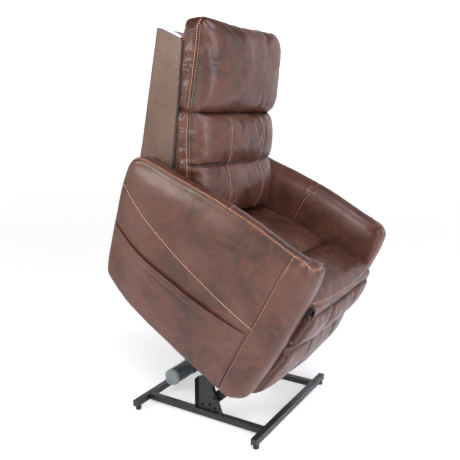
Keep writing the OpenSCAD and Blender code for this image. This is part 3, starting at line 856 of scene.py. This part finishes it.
# Share of that seam where the headrest begins
BACK_JOIN = 0.548
# Depth of the cushions' side strips behind the seam
BOXING = graph((0, 0.072), (0.3, 0.070), (0.55, 0.066), (0.8, 0.070), (1, 0.056))
# Stitch lines of the lumbar cushion: distance from the middle, and how far they bow out
TUFT_X = 0.120
TUFT_BOW = 0.014


def across(box, half):
    """Position across of every vertex of a box that spans the given half width."""
    return (2 * box.w - 1) * half


def crown(x, half, power=3.2, curve=2.0):
    """1 along the middle, falling to 0 at the side seams as a full cushion does."""
    return (1 - np.clip(abs(x) / half, 0, 1) ** power) ** (1 / curve)


def back_cushion(box, low, high, depth, corner_low, corner_high):
    """A back cushion between two shares of the side seam; depth(v) is how far its middle
    stands in front of that seam."""
    share = low + box.v * (high - low)
    seam = BACK_SEAM.at(share)
    ahead = outward(BACK_SEAM, share, -1, 0.02)
    along = np.stack([ahead[:, 1], -ahead[:, 0]], -1)
    x = across(box, BACK_HALF)
    bulge = depth(box.v) * crown(x, BACK_HALF, 8.0, 2.4)
    yz = seam + ahead * (bulge * (1 - box.u) - BOXING(share) * box.u)[:, None]
    for corner, end, sign in ((corner_low, 1 - box.v, 1), (corner_high, box.v, -1)):
        reach = np.clip((abs(x) - BACK_HALF + corner) / corner, 0, 1)
        drop = corner * (1 - np.sqrt(1 - reach**2 * 0.98)) * np.clip(end * 6 - 5, 0, 1) ** 0.5
        yz += along * (sign * drop)[:, None]
    return np.column_stack([x, yz])


def side_edges(form):
    """Side seams of a cushion, right then left, at its front and at its rear."""
    return [[form.edge(u=u, w=w) for w in (0, 1)] for u in (0, 1)]


def back_seams(form, sides, seed):
    """The side seams of a back cushion, and the gathers that run in from them."""
    for k, path in enumerate(sides):
        form.press(path, 0.0035, 0.0045, 0.0018)
        form.pucker(path, 0.060, 0.030, 0.0052, seed + k)
        form.pucker(path, 0.030, 0.014, 0.0020, seed + 4 + k)


def back_stitches(name, piece, sides, rear):
    surface = surface_of(piece)
    for label, inward, front_seam, rear_seam in zip(("right", "left"), (1, -1), sides, rear):
        for part, path, offset, toward, thread in (
                ("stitch", front_seam, 0.0055, (0, 1, 0), 0.0011),
                ("inner_stitch", front_seam, 0.0055, (inward, -1, 0), 0.0006),
                ("edge_stitch", rear_seam, 0.004, (0, -1, 0), 0.0007)):
            stitches(f"{name}_{label}_{part}", path, surface, "backrest", offset, toward,
                     thread)
    return surface


def headrest():
    box = Box(spacing(12, (0, 1), 0.06), spacing(44, (0, 1), 0.012), spacing(60, (0, 1), 0.010))
    depth = graph((0, 0.040), (0.03, 0.062), (0.10, 0.082), (0.3, 0.088), (0.60, 0.078),
                  (0.84, 0.062), (0.94, 0.044), (1, 0.016))
    points = back_cushion(box, BACK_JOIN, 1.0, depth, 0.016, 0.034)
    form = Form(box, points)
    sides, rear = side_edges(form)
    held = near_paths(form.p, sides + rear, 0.006)
    held[box.u == 1] = 1
    plump(form, held, 0.020, 0.012)
    sides, rear = side_edges(form)
    back_seams(form, sides, 21)
    form.rumple(0.13, 0.0035, 23)
    form.rumple(0.04, 0.0008, 24)
    top_seam = form.edge(u=0, v=1)
    form.press(top_seam, 0.003, 0.004, 0.001, 0.8)
    # Painted shade along the headrest's lower front edge, where it meets the lumbar cushion
    form.paint_shade(form.edge(u=0, v=0), 0.012, 0.9)
    piece = upholster("headrest_cushion", form, "backrest")
    surface = back_stitches("headrest", piece, sides, rear)
    stitches("headrest_top_stitch", top_seam, surface, "backrest", 0.005, (0, 1, 0))


def lumbar():
    """Two tiers of three pads, pinched by one level seam and two bowed stitch lines."""
    tier = 0.505
    box = Box(spacing(12, (0, 1), 0.06), spacing(48, (0, tier, 1), 0.010),
              spacing(64, (0, 1), 0.010))
    depth = graph((0, 0.050), (0.10, 0.062), (0.22, 0.070), (0.32, 0.074), (0.44, 0.073),
                  (tier, 0.067), (0.58, 0.076), (0.75, 0.083), (0.89, 0.082), (0.962, 0.072),
                  (1, 0.050))
    points = back_cushion(box, 0.0, BACK_JOIN, depth, 0.012, 0.016)
    within = np.where(box.v < tier, box.v / tier, (box.v - tier) / (1 - tier))
    round_x = 1 - np.clip(abs(points[:, 0]) / BACK_HALF, 0, 1) ** 2.2
    full = 0.024 * np.sin(math.pi * np.clip(within, 0, 1)) ** 0.8 * round_x * (1 - box.u)
    points[:, 1] -= 0.88 * full
    points[:, 2] += 0.47 * full
    form = Form(box, points)
    level = form.edge(u=0, v=tier)
    sides, rear = side_edges(form)
    tufts = tuft_lines(form, tier)
    held = near_paths(form.p, sides + rear + [level], 0.006)
    held = np.maximum(held, 0.75 * near_paths(form.p, tufts, 0.005))
    held[box.u == 1] = 1
    plump(form, held, 0.016, 0.016)
    level = form.edge(u=0, v=tier)
    sides, rear = side_edges(form)
    tufts = tuft_lines(form, tier)
    form.press(level, 0.006, 0.005, 0.002)
    for path in tufts:
        form.press(path, 0.0022, 0.0045, 0.0008, 0.45)
        form.pucker(path, 0.026, 0.020, 0.0014, 34)
    back_seams(form, sides, 31)
    form.pucker(level, 0.045, 0.034, 0.0034, 35)
    form.rumple(0.10, 0.003, 36)
    # Painted shade along the lumbar cushion's upper front edge, under the headrest
    form.paint_shade(form.edge(u=0, v=1), 0.014, 0.95)
    piece = upholster("lumbar_cushion", form, "backrest")
    surface = back_stitches("lumbar", piece, sides, rear)
    for number, path in enumerate(tufts, 1):
        stitches(f"lumbar_tuft_stitch_{number}", path, surface, "backrest")


def tuft_lines(form, tier):
    """The bowed stitch lines of both tiers, laid on the cushion's front."""
    lines = []
    for low, high in ((0.02, tier), (tier, 0.97)):
        for side in (-1, 1):
            path = []
            for t in np.linspace(0, 1, 25):
                x = side * (TUFT_X + TUFT_BOW * math.sin(math.pi * t))
                path.append(front_point(form, low + t * (high - low), x))
            lines.append(np.array(path))
    return lines


def front_point(form, v, x):
    """A place on the front face of a form, at height share v and across position x."""
    box = form.box
    j = int(np.clip(np.searchsorted(box.vs, v) - 1, 0, len(box.vs) - 2))
    f = (v - box.vs[j]) / (box.vs[j + 1] - box.vs[j])
    rows = []
    for jj in (j, j + 1):
        row = form.p[[box.index[0, jj, k] for k in range(len(box.ws))]]
        rows.append(np.array([np.interp(x, row[:, 0], row[:, c]) for c in range(3)]))
    return rows[0] * (1 - f) + rows[1] * f


def cushion_points(box, half, front, rear, bottom, top, recess):
    """A cushion's vertices from its middle outline, and the way its front faces; recess(v)
    is how far its side seams lie back."""
    yz = coons(box.u, box.v, front, rear, bottom, top)
    x = across(box, half)
    n = outward(front, box.v, -1)
    back = recess(box.v) * (1 - crown(x, half)) * (1 - box.u)
    return np.column_stack([x, yz - n * back[:, None]]), n


# ---- Back shell ----


def slab(name, outline, x0, x1, body, material):
    """A flat piece: an outline in the side plane, between two places across."""
    points = [(x, *p) for x in (x0, x1) for p in outline]
    piece = new_mesh(name, points, sweep_faces(2, len(outline)))
    finish_piece(piece, body, material)


def rear_cover():
    """The padded leather skin over the rear of the back, with a level seam near its top."""
    box = Box(spacing(4, (0, 1), 0.2), spacing(46, (0, 0.62, 1), 0.010),
              spacing(44, (0, 1), 0.010))
    inner = trace((681, 153), (783, 470), (860, 944))
    outer = trace((690, 150), (790, 467), (876, 698), (966, 929))
    yz = (1 - box.u)[:, None] * inner.at(box.v) + box.u[:, None] * outer.at(box.v)
    x = across(box, PAD_HALF)
    n = outward(outer, box.v, 1, 0.02)
    full = crown(x, PAD_HALF, 5, 1.6) * (4 * box.v * (1 - box.v)) ** 0.45
    yz += n * (0.012 * full * box.u)[:, None]
    form = Form(box, np.column_stack([x, yz]))
    seam = form.edge(u=1, v=0.62)
    form.press(seam, 0.004, 0.004, 0.001)
    form.pucker(seam, 0.04, 0.03, 0.002, 71)
    form.rumple(0.12, 0.002, 72)
    piece = new_mesh("back_rear_cover", form.p, form.quads, form.crease_shade)
    finish_piece(piece, "backrest", "leather_shell", ["back_rear_panel"], 1)
    stitches("back_rear_stitch", seam, surface_of(piece), "backrest", 0.005, (0, 0, 1))


def back_shell():
    """Rear cover, the near-black sheets painted in as the shade behind the cushions, and the piping
    of the side panels.
    """
    rear_cover()
    # Outline of the near-black sheets that stand for the shade behind the cushions
    shade_sheet = mm((600, 470), (652, 560), (706, 668), (754, 762), (800, 868), (846, 936),
                (858, 928), (822, 850), (776, 748), (724, 640), (660, 520), (618, 452))
    for side, label in ((-1, "right"), (1, "left")):
        slab(f"back_lining_{label}", shade_sheet, side * (SHADE_SHEET_X - 0.003), side * SHADE_SHEET_X, "backrest",
             "shade_sheet")
        front = mm((600, 440), (651, 537), (705, 648), (752, 751), (800, 850), (846, 944))
        rear = mm((964, 928), (918, 810), (877, 699), (830, 580), (791, 468), (740, 310),
                  (690, 152))
        for part, path in (("front", front), ("rear", rear)):
            at = np.column_stack([np.full(len(path), side * PIPING_X), path])
            tube(f"back_{part}_piping_{label}", at, 0.0022, "backrest", "piping")


# ---- Seat and footrest ----


def seat():
    """The seat, which falls away towards the back and is crowned across."""
    box = Box(spacing(40, (0, 1), 0.02), spacing(10, (0, 1), 0.06), spacing(46, (0, 1), 0.014))
    front = trace((66, 306), (72, 380), (112, 424))
    rear = trace((494, 306), (500, 330), (488, 352))
    bottom = trace((66, 306), (280, 305), (494, 306))
    top = trace((112, 424), (134, 430), (204, 424), (285, 410), (414, 378), (488, 352))
    yz = coons(box.u, box.v, front, rear, bottom, top)
    x = across(box, SEAT_HALF)
    swell = crown(x, SEAT_HALF, 2.4, 1.4) * box.v
    yz[:, 1] += swell * np.interp(box.u, (0, 0.12, 0.6, 0.85, 1), mm(20, 24, 26, 22, 6))
    form = Form(box, np.column_stack([x, yz]))
    held = np.clip(2.2 - box.v * 4, 0, 1)
    held[(box.u == 1) | (box.u == 0)] = 1
    plump(form, held, 0.010, 0.015)
    form.rumple(0.14, 0.003, 41)
    form.rumple(0.05, 0.0010, 42)
    form.press(form.edge(u=0, v=1), 0.002, 0.005)
    upholster("seat_cushion", form, "seat_frame")


def seat_front():
    """The raised front of the seat, whose sewn edge bows forward and down in the middle."""
    box = Box(spacing(32, (0, 1), 0.03), spacing(10, (0, 1), 0.06), spacing(50, (0, 1), 0.014))
    front = trace((-62, 352), (-66, 415), (-98, 464))
    rear = trace((64, 352), (76, 390), (112, 428))
    bottom = trace((-62, 352), (0, 350), (64, 352))
    top = trace((-98, 464), (-96, 473), (-78, 479), (-30, 475), (4, 468), (60, 457), (92, 445),
                (112, 428))
    yz = coons(box.u, box.v, front, rear, bottom, top)
    half = SEAT_HALF + 0.008
    bow_ahead, bow_down = 0.024, 0.036
    x = across(box, half)
    c = 1 - np.clip(abs(x) / half, 0, 1) ** 2.2
    upper = box.v ** 1.2
    nose = np.clip(1 - box.u / 0.14, 0, 1) ** 1.5
    yz[:, 0] -= bow_ahead * c * (1 - box.u) ** 1.2 * upper
    yz[:, 1] -= bow_down * c * nose * upper
    full = np.interp(box.u, (0, 0.25, 0.55, 0.85, 1), mm(2, 6, 16, 24, 20))
    yz[:, 1] += full * c * box.v ** 3
    form = Form(box, np.column_stack([x, yz]))
    edge = form.edge(u=0, v=1)
    held = np.maximum(near_paths(form.p, [edge], 0.016), np.clip(2.2 - box.v * 3, 0, 1))
    held[(box.u == 1) | (box.u == 0)] = 1
    plump(form, held, 0.008, 0.005)
    edge = form.edge(u=0, v=1)
    form.rumple(0.12, 0.0025, 51)
    form.rumple(0.05, 0.0008, 52)
    form.press(edge, 0.003, 0.004, 0.001)
    form.press(form.edge(u=1, v=1), 0.002, 0.006)
    row = form.edge(u=box.us[2], v=1)
    piece = upholster("seat_front_cushion", form, "seat_frame")
    stitches("seat_front_stitch", row, surface_of(piece), "seat_frame")


def hinge_skin():
    """The leather flap that closes the gap between the seat's front and the leg pad."""
    rows = mm((-74, 450), (-88, 460), (-103, 461), (-114, 455), (-119, 444), (-122, 430),
              (-124, 412))
    curve = Curve(rows)
    across_x = np.linspace(-0.297, 0.297, 49)
    steps = np.linspace(0, 1, 17)
    points = []
    for depth in (0.0, 0.003):
        for t in steps:
            y, z = curve.at(t)
            dy, dz = curve.at(t + 0.02) - curve.at(t - 0.02)
            scale = depth / math.hypot(dy, dz)
            points += [(x, y - dz * scale, z + dy * scale) for x in across_x]
    faces = [f[::-1] for f in leaf_faces(len(steps), len(across_x))]
    piece = new_mesh("hinge_skin", points, faces)
    piece.data.materials.append(materials["leather"])
    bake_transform(piece)


PAD_TUFT_X = 0.110
PAD_TUFT_BOW = 0.020


def pad_tufts(form):
    """The two bowed stitch lines of a leg pad, laid on its front."""
    return [np.array([front_point(form, t, side * (PAD_TUFT_X + PAD_TUFT_BOW
                                                        * math.sin(math.pi * t)))
                      for t in np.linspace(0.02, 0.98, 19)]) for side in (-1, 1)]


def leg_pad(name, body, front, rear, bottom, top, recess, sag=0.0):
    """A tufted pad of the footrest: three columns between two bowed stitch lines."""
    box = Box(spacing(10, (0, 1), 0.06), spacing(30, (0, 1), 0.016), spacing(60, (0, 1), 0.012))
    points, n = cushion_points(box, PAD_HALF, front, rear, bottom, top, recess)
    x = points[:, 0]
    points[:, 2] -= sag * (1 - (x / PAD_HALF) ** 2) * np.clip(box.v * 4 - 3, 0, 1)
    row = (4 * box.v * (1 - box.v)) ** 0.6
    tuft = PAD_TUFT_X + PAD_TUFT_BOW * np.sin(math.pi * box.v)
    dip = bell(np.abs(x) - tuft, 0.020)
    puff = 0.010 * row - 0.009 * dip * row ** 0.5
    points[:, 1:] += n * (puff * (box.u == 0))[:, None]
    form = Form(box, points)
    sides = [form.edge(u=0, w=w) for w in (0, 1)]
    ends = [form.edge(u=0, v=v) for v in (0, 1)]
    tufts = pad_tufts(form)
    held = near_paths(form.p, sides + ends, 0.006)
    held = np.maximum(held, 0.8 * near_paths(form.p, tufts, 0.005))
    held[(box.u == 1) | (box.v == 0) | (box.v == 1)] = 1
    plump(form, held, 0.012, 0.008)
    tufts = pad_tufts(form)
    for path in tufts:
        form.press(path, 0.003, 0.005, 0.001, 0.35)
    for k, path in enumerate(sides + ends):
        form.press(path, 0.003, 0.005, 0.0015)
        form.pucker(path, 0.040, 0.024, 0.0018, 61 + k)
    form.rumple(0.09, 0.0025, 65)
    piece = upholster(name, form, body)
    surface = surface_of(piece)
    for number, path in enumerate(tufts, 1):
        stitches(f"{name}_tuft_stitch_{number}", path, surface, body)
    return piece


def footrest_pads():
    leg_pad("chaise_pad", "chaise",
            trace((-131, 282), (-143, 306), (-145, 360), (-139, 405), (-126, 430)),
            trace((-90.5, 273), (-90.5, 340), (-90.5, 414)),
            trace((-131, 282), (-118, 277), (-90.5, 273)),
            trace((-126, 430), (-118, 427), (-90.5, 414)),
            graph((0, 0.012), (0.5, 0.024), (1, 0.008)), 0.010)
    leg_pad("footrest_pad", "footrest",
            trace((-104, -6), (-131, 40), (-146, 120), (-149, 208), (-135, 252)),
            trace((-90.5, -4), (-90.5, 130), (-90.5, 264)),
            trace((-104, -6), (-98, -8), (-90.5, -4)),
            trace((-135, 252), (-118, 259), (-90.5, 264)),
            graph((0, 0.004), (0.5, 0.030), (1, 0.016)))


# ---- CAD nodes that keep their own shape ----

def both(*names):
    """Each name for the left side and for the right side."""
    return [f"{name}_{side}" for name in names for side in ("left", "right")]


FINISHES = {
    "frame_black": both("base_side_rail", "upright", "lift_arm", "front_link", "seat_rail",
                        "pivot_bracket")
    + ["base_crossbar_front", "base_crossbar_rear", "actuator_clevis", "torque_tube",
       "torque_lug", "seat_cross_tubes", "footrest_hinge_rod", "back_hinge_brackets",
       "actuator_forks", "upright_bolts", "lift_arm_pins", "front_link_pins"],
    "cap_black": ["base_end_caps", "base_feet", "control_box", "power_inlet"],
    "zinc": ["lift_rod", "seat_springs", "back_actuator_rod", "footrest_actuator_rod"],
    "motor_dark": ["lift_gearbox", "back_actuator_housing", "footrest_actuator_housing"],
    "motor_grey": ["lift_outer_tube"],
    "wood": both("arm_frame") + ["seat_side_boards", "seat_front_board", "seat_rear_board",
                                 "back_frame", "chaise_board", "footrest_board"],
    "liner": ["back_liners"],
    "leather_shell": both("back_side_panel"),
}


def soften_edges(piece, width):
    soft = piece.modifiers.new("edge", "BEVEL")
    soft.width, soft.segments, soft.limit_method = width, 2, "ANGLE"
    return soft


def finish_nodes():
    for name, members in FINISHES.items():
        for member in members:
            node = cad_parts[member]
            node.data.materials.clear()
            node.data.materials.append(materials[name])
            soften_edges(node, 0.0008).angle_limit = math.radians(40)


def prism(name, x0, x1, section, body, material, bevel, replaced=()):
    """A moulding along X from a closed section (y, z) in the row frame, its ends eased."""
    middle = section.mean(axis=0)
    rings = [(x0, 1 - bevel / 0.03), (x0 + bevel, 1.0), (x1 - bevel, 1.0),
             (x1, 1 - bevel / 0.03)]
    points = [(x, *(middle + (p - middle) * k)) for x, k in rings for p in section]
    faces = [face[::-1] for face in sweep_faces(len(rings), len(section))]
    back = CHAIR.inverted()
    piece = new_mesh(name, [back @ Vector(p) for p in points], faces)
    soften_edges(piece, 0.001)
    finish_piece(piece, body, material, replaced)


def lift_motor():
    """The lift motor: a ribbed dark body, a pale strip along its top and a pale end cap."""
    low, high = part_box("lift_motor")
    y, z = (low.y + high.y) / 2, (low.z + high.z) / 2
    tilt = math.radians(-12)

    def ring(size, angles, ribs=0.0, power=3.0):
        a = np.asarray(angles)
        r = size * (np.abs(np.cos(a)) ** power + np.abs(np.sin(a)) ** power) ** (-1 / power)
        r = r - ribs * (0.5 + 0.5 * np.cos(28 * a))
        return np.column_stack([y + r * np.cos(a + tilt), z + r * np.sin(a + tilt)])

    turn = np.linspace(0, 2 * math.pi, 168, endpoint=False)
    prism("motor_body", low.x, high.x, ring(0.0325, turn, 0.0018), "lift_actuator",
          "motor_dark", 0.002, ["lift_motor"])
    arc = np.linspace(0.28 * math.pi, 0.50 * math.pi, 24)
    strip = np.vstack([ring(0.0345, arc), ring(0.029, arc[::-1])])
    prism("motor_strip", low.x - 0.002, high.x, strip, "lift_actuator", "motor_grey",
          0.001)
    prism("motor_cap", low.x - 0.022, low.x + 0.001, ring(0.0345, turn), "lift_actuator",
          "motor_grey", 0.005, ["lift_motor_cap"])


# ---- Build ----

finish_nodes()
for side in (-1, 1):
    arm_piece, arm_paths = arm(side)
    arm_stitches(arm_piece, arm_paths)
    pocket(side, arm_piece)
headrest()
lumbar()
back_shell()
lift_motor()
seat()
seat_front()
hinge_skin()
footrest_pads()


# ---- Floor, light and camera ----


def plain(name, colour):
    s = Shader(name)
    tint = s.noise(3, 2, 0.5)
    s.out(Base_Color=s.ramp(tint, (0, tuple(c * 0.985 for c in colour)), (1, colour)),
          Roughness=0.9)
    return s


def floor():
    """A pale floor that curves up into a wall all round, lit like a photographer's bowl."""
    shader = plain("floor", (0.88, 0.88, 0.88))
    shader.out(Emission_Color=(1, 1, 1), Emission_Strength=0.42)
    rim = [(0.001, 0.0), (2.5, 0.0), (5.0, 0.0)]
    rim += [(5.0 + 2.5 * math.sin(a), 2.5 - 2.5 * math.cos(a))
            for a in np.linspace(0.1, math.pi / 2, 16)]
    rim.append((7.5, 5.0))
    turns = 96
    points = [(r * math.cos(t), r * math.sin(t), z) for r, z in rim
              for t in np.linspace(0, 2 * math.pi, turns, endpoint=False)]
    faces = [face[::-1] for face in sweep_faces(len(rim), turns)[:-2]]
    mesh = bpy.data.meshes.new("floor")
    mesh.from_pydata(points, [], faces)
    mesh.shade_smooth()
    piece = bpy.data.objects.new("floor", mesh)
    mesh.materials.append(materials["floor"])
    bpy.context.scene.collection.objects.link(piece)


def softbox(name, place, aim, size, power, tint=(1, 1, 1)):
    light = bpy.data.lights.new(name, "AREA")
    light.shape = "RECTANGLE"
    light.size, light.size_y = size
    light.energy = power
    light.color = tint
    lamp = bpy.data.objects.new(name, light)
    lamp.location = place
    lamp.rotation_euler = (Vector(aim) - Vector(place)).to_track_quat("-Z", "Y").to_euler()
    bpy.context.scene.collection.objects.link(lamp)


def studio():
    world = bpy.data.worlds.new("studio")
    bpy.context.scene.world = world
    world.use_nodes = True
    background = world.node_tree.nodes["Background"].inputs
    background["Color"].default_value = (0.93, 0.91, 1, 1)
    background["Strength"].default_value = 0.11
    bpy.context.scene.view_settings.view_transform = "Standard"
    middle = (0, -0.1, 0.9)
    softbox("key", (-2.6, -1.2, 3.4), middle, (1.6, 1.6), 66)
    softbox("front", (-1.2, -3.5, 1.9), middle, (0.9, 2.0), 40, (0.84, 0.80, 1.0))
    softbox("top", (0.2, -1.7, 3.7), middle, (1.2, 1.2), 46, (0.82, 0.80, 1.0))
    softbox("strip", (-2.35, -2.75, 1.35), (-0.2, 0, 1.2), (0.35, 2.3), 42, (0.95, 0.93, 1.0))
    softbox("fill", (-3.1, 1.7, 2.1), (-0.3, 0, 0.9), (0.9, 0.9), 42, (1, 0.98, 0.92))


def camera():
    """The photograph's camera: turned and lowered from the +X axis, in degrees."""
    data = bpy.data.cameras.new("camera")
    data.sensor_width, data.lens = 36.0, 45.313
    piece = bpy.data.objects.new("camera", data)
    turn, fall = math.radians(31.25), math.radians(11.47)
    ahead = Vector((math.cos(turn) * math.cos(fall), math.sin(turn) * math.cos(fall),
                    -math.sin(fall)))
    piece.location = (-2.075, -1.1297, 1.255)
    piece.rotation_euler = ahead.to_track_quat("-Z", "Y").to_euler()
    bpy.context.scene.collection.objects.link(piece)
    bpy.context.scene.camera = piece


floor()
studio()
camera()
